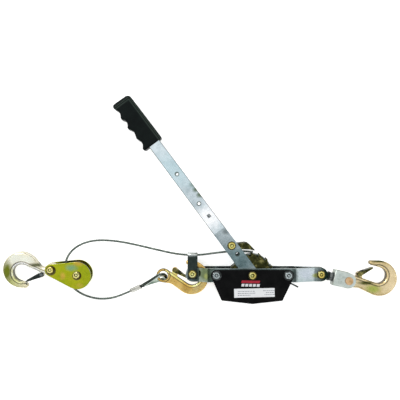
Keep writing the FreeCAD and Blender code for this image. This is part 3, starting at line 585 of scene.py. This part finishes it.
PALE_GOLD = plated(
    "ForgedCream",
    [(0.74, 0.66, 0.38), (0.92, 0.86, 0.64), (0.97, 0.94, 0.80)],
    (0.18, 0.32),
    20.0,
    34.0,
    # Painted light: a cream highlight over the upper side, painted shade in olive to the left and
    # below, and a dark olive line of painted shade along the upper edge of the shank.
    tints_and_painted_light=(
        (at_shaft(-515, 30), (46, 26), CREAM, 1.0),
        (at_shaft(-540, -20), (26, 18), (0.50, 0.52, 0.16), 0.8),
        (at_shaft(-549, 6), (13, 30), (0.17, 0.20, 0.02), 1.0),
        (at_shaft(-482, 20), (22, 6), EDGE_SHADE_OLIVE, 0.9),
    ),
    skin=0.4,
    pits=0.15,
    opening=LEFT_OPENING,
)
CHEEK_ZINC = plated(
    "IridescentZinc",
    [(0.30, 0.38, 0.015), (0.43, 0.46, 0.015), (0.52, 0.46, 0.04)],
    (0.16, 0.30),
    8.0,
    22.0,
    tints_and_painted_light=(
        (at_shaft(-404, 14), (15, 9), (0.20, 0.42, 0.26), 0.75),
        (at_shaft(-388, 24), (14, 7), ORANGE, 0.5),
        (at_shaft(-424, -4), (7, 10), ORANGE, 0.55),
        (at_shaft(-386, -26), (10, 6), (0.62, 0.44, 0.08), 0.5),
    ),
)
OLIVE = plated(
    "OliveZinc",
    [(0.012, 0.014, 0.005), (0.065, 0.066, 0.02), (0.50, 0.45, 0.16)],
    (0.2, 0.42),
    60.0,
    85.0,
    pits=0.9,
)
DARK_STEEL = plated(
    "DarkSteel",
    [(0.02, 0.026, 0.024), (0.05, 0.065, 0.06), (0.13, 0.15, 0.14)],
    (0.2, 0.36),
    scuff=SCUFFED_STEEL,
)
GUIDE_STEEL = plated(
    "GuideSteel",
    [(0.02, 0.026, 0.024), (0.06, 0.08, 0.07), (0.13, 0.15, 0.14)],
    (0.14, 0.26),
    scuff=SCUFFED_STEEL,
    # A painted highlight: a white band along the guide's bent top.
    tints_and_painted_light=((at_shaft(-132, 48), (22, 8), (0.90, 0.94, 0.92), 1.0),),
)
ROPE_STEEL = plated(
    "RopeSteel",
    [(0.09, 0.12, 0.10), (0.20, 0.24, 0.215), (0.40, 0.44, 0.40)],
    (0.22, 0.4),
    mottle=160.0,
)
EYE_STEEL = plated(
    "EyeSteel",
    [(0.03, 0.045, 0.035), (0.08, 0.10, 0.085), (0.26, 0.29, 0.26)],
    (0.22, 0.4),
    mottle=160.0,
)
SPRING_STEEL = plated(
    "SpringSteel",
    [(0.14, 0.14, 0.13), (0.28, 0.28, 0.26), (0.45, 0.45, 0.42)],
    (0.25, 0.4),
)
CLEVIS_ZINC = plated(
    "GrainyZinc",
    [(0.50, 0.56, 0.51), (0.68, 0.74, 0.69), (0.80, 0.84, 0.78)],
    (0.3, 0.42),
    mottle=120.0,
    skin=0.9,
    pits=0.3,
)
ALUMINIUM = plated(
    "FerruleAluminium",
    [(0.46, 0.46, 0.40), (0.70, 0.70, 0.65), (0.86, 0.86, 0.82)],
    (0.22, 0.4),
    25.0,
    140.0,
    sides=0.9,
)
COPPER = plated(
    "CopperRivet",
    [(0.50, 0.30, 0.12), (0.80, 0.52, 0.28), (0.90, 0.68, 0.44)],
    (0.25, 0.42),
    mottle=70.0,
)
BRONZE = plated(
    "BronzeBush",
    [(0.40, 0.27, 0.10), (0.58, 0.42, 0.18), (0.70, 0.54, 0.28)],
    (0.3, 0.5),
    mottle=80.0,
)

GRIP_LINE_FROM_SIDE = 15.5 * MM
GRIP_LINE_FROM_SHAFT = 478 * MM


def grip_plastic():
    """Grainy black plastic with a pressed line that follows the grip's straight side and its end: the
    line is a bump, with painted shade in it and a painted highlight in a band round it.
    """
    turn = math.radians(LEVER_ANGLE)
    along, across = (math.cos(turn), math.sin(turn), 0), (-math.sin(turn), math.cos(turn), 0)
    paint = Paint("GripPlastic", 0.0, (0.003, 0.005, 0.005))
    paint.shader.inputs["Specular IOR Level"].default_value = 0.1
    place = paint.vectors("SUBTRACT", paint.coords, (SHAFT.x, SHAFT.y, 0))
    side = paint.maths("ADD", paint.vectors("DOT_PRODUCT", place, across), GRIP_LINE_FROM_SIDE)
    end = paint.maths("SUBTRACT", paint.vectors("DOT_PRODUCT", place, along), GRIP_LINE_FROM_SHAFT)
    away = paint.maths("MINIMUM", paint.maths("ABSOLUTE", side), paint.maths("ABSOLUTE", end))
    patches = paint.noise(38.0, 6.0, 0.65)
    base = paint.ramp(patches, [(0.36, (0.001, 0.003, 0.003)), (0.80, (0.005, 0.010, 0.009))])
    # A painted highlight in a band round the pressed line, and painted shade in the line itself.
    base = paint.lined(base, away, 0.6 * MM, 4.5 * MM, 0.9, (0.05, 0.07, 0.06))
    base = paint.lined(base, away, 0.4 * MM, 1.2 * MM, 1.0, (0.0, 0.0, 0.0))
    paint.colour(base)
    paint.roughness(paint.levels(paint.noise(70.0, 5.0, 0.6), 0.3, 0.7, 0.30, 0.46))
    paint.bump(paint.levels(away, 0.3 * MM, 1.6 * MM), 0.8 * MM)
    paint.bump(paint.noise(1400.0, 3.0, 0.5), 0.14 * MM, 0.6)
    return paint.material


GRIP_PLASTIC = grip_plastic()
BLACK_PAINT = painted("BlackPaint", (0.0015, 0.0015, 0.0018), (0.30, 0.46), rubbed=1.3, gloss=0.07)
LABEL_VINYL = painted("LabelVinyl", (0.88, 0.89, 0.92), (0.3, 0.45), 500.0, 0.02 * MM, rubbed=1.0)
LABEL_INK = painted("LabelInk", (0.26, 0.27, 0.31), (0.4, 0.5), 500.0, 0.01 * MM)
BADGE_RED = painted("BadgeRed", (0.36, 0.012, 0.03), (0.3, 0.4), 500.0, 0.02 * MM)
BADGE_WHITE = painted("BadgeWhite", (0.74, 0.74, 0.77), (0.3, 0.4), 500.0, 0.02 * MM, rubbed=1.0)

LOOKS = {
    "near_side_strap": STRAP_ZINC,
    "far_side_strap": STRAP_ZINC,
    "near_cover_plate": BLACK_PAINT,
    "far_cover_plate": BLACK_PAINT,
    "rating_label": LABEL_VINYL,
    "main_shaft": GOLD,
    "shaft_nuts": GOLD,
    "frame_bolts": ZINC,
    "frame_nuts": ZINC,
    "frame_washers": ZINC,
    "frame_spacers": ZINC,
    "anchor_pin": GOLD,
    "anchor_nuts": GOLD,
    "anchor_roller": GOLD,
    "end_pin": GOLD,
    "end_pin_nuts": GOLD,
    "holding_pawl_spring": SPRING_STEEL,
    "driving_pawl_spring": SPRING_STEEL,
    "middle_hook": END_GOLD,
    "right_hook": HOOK_GOLD,
    "left_hook": PALE_GOLD,
    "middle_latch_rivet": GOLD,
    "right_latch_rivet": GOLD,
    "left_latch_rivet": ZINC,
    "middle_latch": OLIVE,
    "right_latch": OLIVE,
    "left_latch": DARK_STEEL,
    "thimble": THIMBLE_ZINC,
    "rope_ferrule": ALUMINIUM,
    "near_cheek": CHEEK_ZINC,
    "far_cheek": CHEEK_ZINC,
    "sheave": OLIVE,
    "sheave_bush": BRONZE,
    "sheave_axle": GOLD,
    "sheave_spacers": GOLD,
    "hook_bolt": GOLD,
    "block_nuts": GOLD,
    "block_washers": GOLD,
    "lever_channel": LEVER_ZINC,
    "lever_grip": GRIP_PLASTIC,
    "pawl_pin": GOLD,
    "pawl_pin_nuts": GOLD,
    "driving_pawl": OLIVE,
    "holding_pawl": OLIVE,
    "pawl_release_rod": DARK_STEEL,
    "drum_core": OLIVE,
    "near_ratchet_wheel": OLIVE,
    "far_ratchet_wheel": OLIVE,
    "drum_bush": BRONZE,
    "drum_rivets": OLIVE,
    "rope_windings": ROPE_STEEL,
    "rope_guide": GUIDE_STEEL,
    "swivel_eye": DARK_STEEL,
    "swivel_nut": ZINC,
    "swivel_washer": ZINC,
    "clevis": CLEVIS_ZINC,
    "clevis_rivet": COPPER,
    "rope_eye": EYE_STEEL,
    "wire_rope": ROPE_STEEL,
}

SOFT_EDGE = 0.35 * MM
PRESSED_EDGES = {"lever_channel": 1.1 * MM, "near_side_strap": 0.7 * MM, "far_side_strap": 0.7 * MM}
SHARPEST_SMOOTH_ANGLE = math.radians(35)
SAME_POINT = 1e-6

for name, part in nodes.items():
    part.data.materials.clear()
    part.data.materials.append(LOOKS[name])
    weld = part.modifiers.new("Weld", "WELD")
    weld.merge_threshold = SAME_POINT
    edge = part.modifiers.new("SoftEdges", "BEVEL")
    edge.width = PRESSED_EDGES.get(name, SOFT_EDGE)
    edge.segments = 2
    edge.limit_method = "ANGLE"
    edge.angle_limit = SHARPEST_SMOOTH_ANGLE
    edge.harden_normals = True

# ---------------------------------------------------------------- mesh helpers


def make_piece(name, verts, faces, material, body):
    mesh = bpy.data.meshes.new(name)
    mesh.from_pydata([tuple(v) for v in verts], [], faces)
    mesh.materials.append(material)
    for polygon in mesh.polygons:
        polygon.use_smooth = True
    piece = bpy.data.objects.new(name, mesh)
    scene.collection.objects.link(piece)
    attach(piece, body)
    return piece


def frames_along(points):
    """Points with a steadily carried pair of side vectors, so that a helix round them turns evenly."""
    result = []
    side = None
    for i, point in enumerate(points):
        ahead = (points[min(i + 1, len(points) - 1)] - points[max(i - 1, 0)]).normalized()
        if side is None:
            side = ahead.orthogonal().normalized()
        side = (side - ahead * side.dot(ahead)).normalized()
        result.append((point, side, ahead.cross(side)))
    return result


def tube(points, radius, sides, verts, faces):
    """Adds a capped tube along points to a list of vertices and faces."""
    first = len(verts)
    for point, side, up in frames_along(points):
        for k in range(sides):
            angle = 2 * math.pi * k / sides
            verts.append(point + (side * math.cos(angle) + up * math.sin(angle)) * radius)
    rings = len(points)
    for i in range(rings - 1):
        for k in range(sides):
            a, b = first + i * sides + k, first + i * sides + (k + 1) % sides
            faces.append((a, b, b + sides, a + sides))
    faces.append(tuple(first + k for k in reversed(range(sides))))
    faces.append(tuple(first + (rings - 1) * sides + k for k in range(sides)))


STRANDS = 6
LAY_LENGTH = 30 * MM
STRAND_OF_ROPE = 1 / 3
CORE_OF_STRAND = 1.1


def stranded(points, verts, faces, sides=7):
    """Wire rope along points: a core and six strands laid round it."""
    strand = ROPE_RADIUS * STRAND_OF_ROPE
    around = frames_along(points)
    travelled = 0.0
    paths = [[] for _ in range(STRANDS)]
    for i, (point, side, up) in enumerate(around):
        if i:
            travelled += (point - around[i - 1][0]).length
        for k, path in enumerate(paths):
            angle = 2 * math.pi * (travelled / LAY_LENGTH + k / STRANDS)
            path.append(point + (side * math.cos(angle) + up * math.sin(angle)) * strand * 2)
    for path in paths:
        tube(path, strand, sides, verts, faces)
    tube(points, strand * CORE_OF_STRAND, 5, verts, faces)


def rope_piece(name, points, material, body, stands_for, sides=7):
    """A stranded length of wire rope that takes the place of a plain CAD one."""
    verts, faces = [], []
    stranded(points, verts, faces, sides)
    piece = make_piece(name, verts, faces, material, body)
    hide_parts(stands_for)
    return piece


# ---------------------------------------------------------------- the free rope

# Control points of the rope's line from the drum to the ferrule, from the shaft's centre.
ROUTE = [
    (0.0030, 0.0496, 0.0000),
    (-0.0280, 0.0523, 0.0002),
    (-0.0730, 0.0486, 0.0000),
    (-0.1210, 0.0416, -0.0006),
    (-0.1660, 0.0438, -0.0045),
    (-0.2120, 0.0530, -0.0125),
    (-0.2560, 0.0629, -0.0200),
    (-0.3000, 0.0714, -0.0252),
    (-0.3410, 0.0748, -0.0264),
    (-0.3720, 0.0712, -0.0240),
    (-0.3965, 0.0605, -0.0200),
    (-0.4118, 0.0460, -0.0155),
    (-0.4198, 0.0280, -0.0115),
    (-0.4210, 0.0080, -0.0114),
    (-0.4170, -0.0120, -0.0136),
    (-0.4080, -0.0290, -0.0166),
    (-0.3930, -0.0440, -0.0205),
    (-0.3720, -0.0555, -0.0260),
    (-0.3445, -0.0620, -0.0308),
    (-0.3140, -0.0585, -0.0290),
    (-0.2862, -0.0469, -0.0184),
    (-0.2726, -0.0405, -0.0154),
]


def spline_line(points):
    """The smooth line of a quadratic NURBS spline through a route's control points."""
    curve = bpy.data.curves.new("RopeLine", "CURVE")
    curve.dimensions = "3D"
    spline = curve.splines.new("NURBS")
    spline.points.add(len(points) - 1)
    for control, point in zip(spline.points, points):
        control.co = (*point, 1)
    spline.order_u = 3
    spline.use_endpoint_u = True
    spline.resolution_u = 24
    line = bpy.data.objects.new("RopeLine", curve)
    scene.collection.objects.link(line)
    bpy.context.view_layer.update()
    mesh = bpy.data.meshes.new_from_object(line)
    result = [v.co.copy() for v in mesh.vertices]
    bpy.data.objects.remove(line)
    bpy.data.meshes.remove(mesh)
    return result


rope_line = spline_line([SHAFT + Vector(p) for p in ROUTE])
rope = rope_piece("wire_rope_strands", rope_line, ROPE_STEEL, "frame", "wire_rope")

# ---------------------------------------------------------------- wound rope and eye

TURN_PITCH = 2.02 * ROPE_RADIUS
STEPS_IN_A_TURN = 72


def wound_rope():
    """The turns of rope that can be seen on the drum, laid side by side between the wheels."""
    low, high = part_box("rope_windings")
    centre_line = (high.x - low.x) / 2 - ROPE_RADIUS
    level = (high.z - low.z) / 2 - ROPE_RADIUS
    count = round(2 * level / TURN_PITCH * STEPS_IN_A_TURN)
    points = []
    for i in range(count + 1):
        turn = 2 * math.pi * i / STEPS_IN_A_TURN
        height = 2 * level * i / count - level
        step = Vector((centre_line * math.cos(turn), centre_line * math.sin(turn), height))
        points.append(SHAFT + step)
    rope_piece("drum_rope_turns", points, ROPE_STEEL, "drum", "rope_windings", sides=5)


# The loop's place from the shaft's centre, and its turns about Z, then about its own Y and X.
LOOP_PLACE = Vector((-203.6, -7.7, 0)) * MM
LOOP_TURNS = ((205.4, "Z"), (11.4, "Y"), (35, "X"))
LOOP_RADIUS = 12.9 * MM
LOOP_STEPS, LEAD_STEPS = 40, 12
FERRULE_START = 51.3 * MM
ROPES_APART = 0.1 * MM


def eye_rope():
    """The stranded loop round the thimble, from one side of the ferrule's mouth to the other."""
    place = Matrix.Translation(SHAFT + LOOP_PLACE)
    for angle, axis in LOOP_TURNS:
        place = place @ Matrix.Rotation(math.radians(angle), 4, axis)
    half = ROPE_RADIUS + ROPES_APART
    tangent = math.acos((LOOP_RADIUS - half) / FERRULE_START)
    sweep = 2 * math.pi - 2 * tangent
    bend = [tangent + sweep * i / LOOP_STEPS for i in range(LOOP_STEPS + 1)]
    loop = [Vector((LOOP_RADIUS * math.cos(a), 0, LOOP_RADIUS * math.sin(a))) for a in bend]
    start, end = Vector((FERRULE_START, 0, half)), Vector((FERRULE_START, 0, -half))
    lead_in = [start.lerp(loop[0], i / LEAD_STEPS) for i in range(LEAD_STEPS)]
    lead_out = [loop[-1].lerp(end, i / LEAD_STEPS) for i in range(1, LEAD_STEPS + 1)]
    points = [place @ p for p in lead_in + loop + lead_out]
    rope_piece("rope_eye_strands", points, EYE_STEEL, "frame", "rope_eye")


# ---------------------------------------------------------------- label and badge


def raised_shapes(name, outlines, level, thick, material):
    """Thin printed or stuck-on shapes: each outline a list of places in X and Y, given a little height
    and a softened rim."""
    made = bmesh.new()
    for outline in outlines:
        bottom = [made.verts.new((x, y, level)) for x, y in outline]
        top = [made.verts.new((x, y, level + thick)) for x, y in outline]
        made.faces.new(list(reversed(bottom)))
        made.faces.new(top)
        for i in range(len(outline)):
            j = (i + 1) % len(outline)
            made.faces.new((bottom[i], bottom[j], top[j], top[i]))
    rims = [e for e in made.edges if all(abs(v.co.z - level - thick) < SAME_POINT for v in e.verts)]
    bmesh.ops.bevel(made, geom=rims, offset=thick * 0.4, segments=2, affect="EDGES")
    mesh = bpy.data.meshes.new(name)
    made.to_mesh(mesh)
    made.free()
    mesh.materials.append(material)
    piece = bpy.data.objects.new(name, mesh)
    scene.collection.objects.link(piece)
    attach(piece, "frame")


def slanted_bar(x, y, long, tall, turn, lean=0.0):
    """A bar from its lower left corner, in millimetres about the shaft, turned with its plate."""
    corners = ((0, 0), (long, 0), (long + lean, tall), (lean, tall))
    steps = [turned_by(turn, u, v) for u, v in corners]
    return [at_shaft(x + u, y + v) for u, v in steps]


# The sticker's rows of small print, in millimetres from its middle: left end, height and length.
STICKER_MIDDLE = (4.0, -38.0)
STICKER_TURN = 1.3
PRINT_ROWS = (
    (-36.5, 3.6, 34),
    (-36.5, -0.6, 37),
    (-36.5, -4.8, 28),
    (19, 4.2, 24),
    (25, 0.2, 14),
    (22, -4.2, 18),
)
PRINT_HEIGHT = 1.5
INK_THICK = 0.04 * MM

# The badge, in millimetres about the shaft: one bar over five blocks.
BADGE_TURN = -1.2
BADGE_THICK = 0.12 * MM
BLOCK_COUNT, BLOCK_STEP = 5, (8.4, -0.17)


def label_print():
    """Rows of short grey bars that stand for the sticker's small print. They aren't letters."""
    chance = random.Random(4)
    bars = []
    for left, height, reach in PRINT_ROWS:
        along = left
        while along < left + reach:
            long = chance.uniform(1.6, 5.2)
            u, v = turned_by(STICKER_TURN, along, 0)
            x, y = STICKER_MIDDLE[0] + u, STICKER_MIDDLE[1] + height + v
            bars.append(slanted_bar(x, y - PRINT_HEIGHT / 2, long, PRINT_HEIGHT, STICKER_TURN))
            along += long + chance.uniform(0.7, 1.4)
    raised_shapes("label_print", bars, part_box("rating_label")[1].z, INK_THICK, LABEL_INK)


def cover_badge():
    """A plain two-colour badge: one red bar over a row of pale blocks, with no letters or mark."""
    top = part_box("near_cover_plate")[1].z
    bar = slanted_bar(-25, -16.2, 40, 5.6, BADGE_TURN, 1.5)
    raised_shapes("badge_bar", [bar], top, BADGE_THICK, BADGE_RED)
    step_x, step_y = BLOCK_STEP
    blocks = [
        slanted_bar(-25.0 + step_x * i, -24.0 + step_y * i, 6.4, 6.0, BADGE_TURN, 1.2)
        for i in range(BLOCK_COUNT)
    ]
    raised_shapes("badge_blocks", blocks, top, BADGE_THICK, BADGE_WHITE)


wound_rope()
eye_rope()
label_print()
cover_badge()
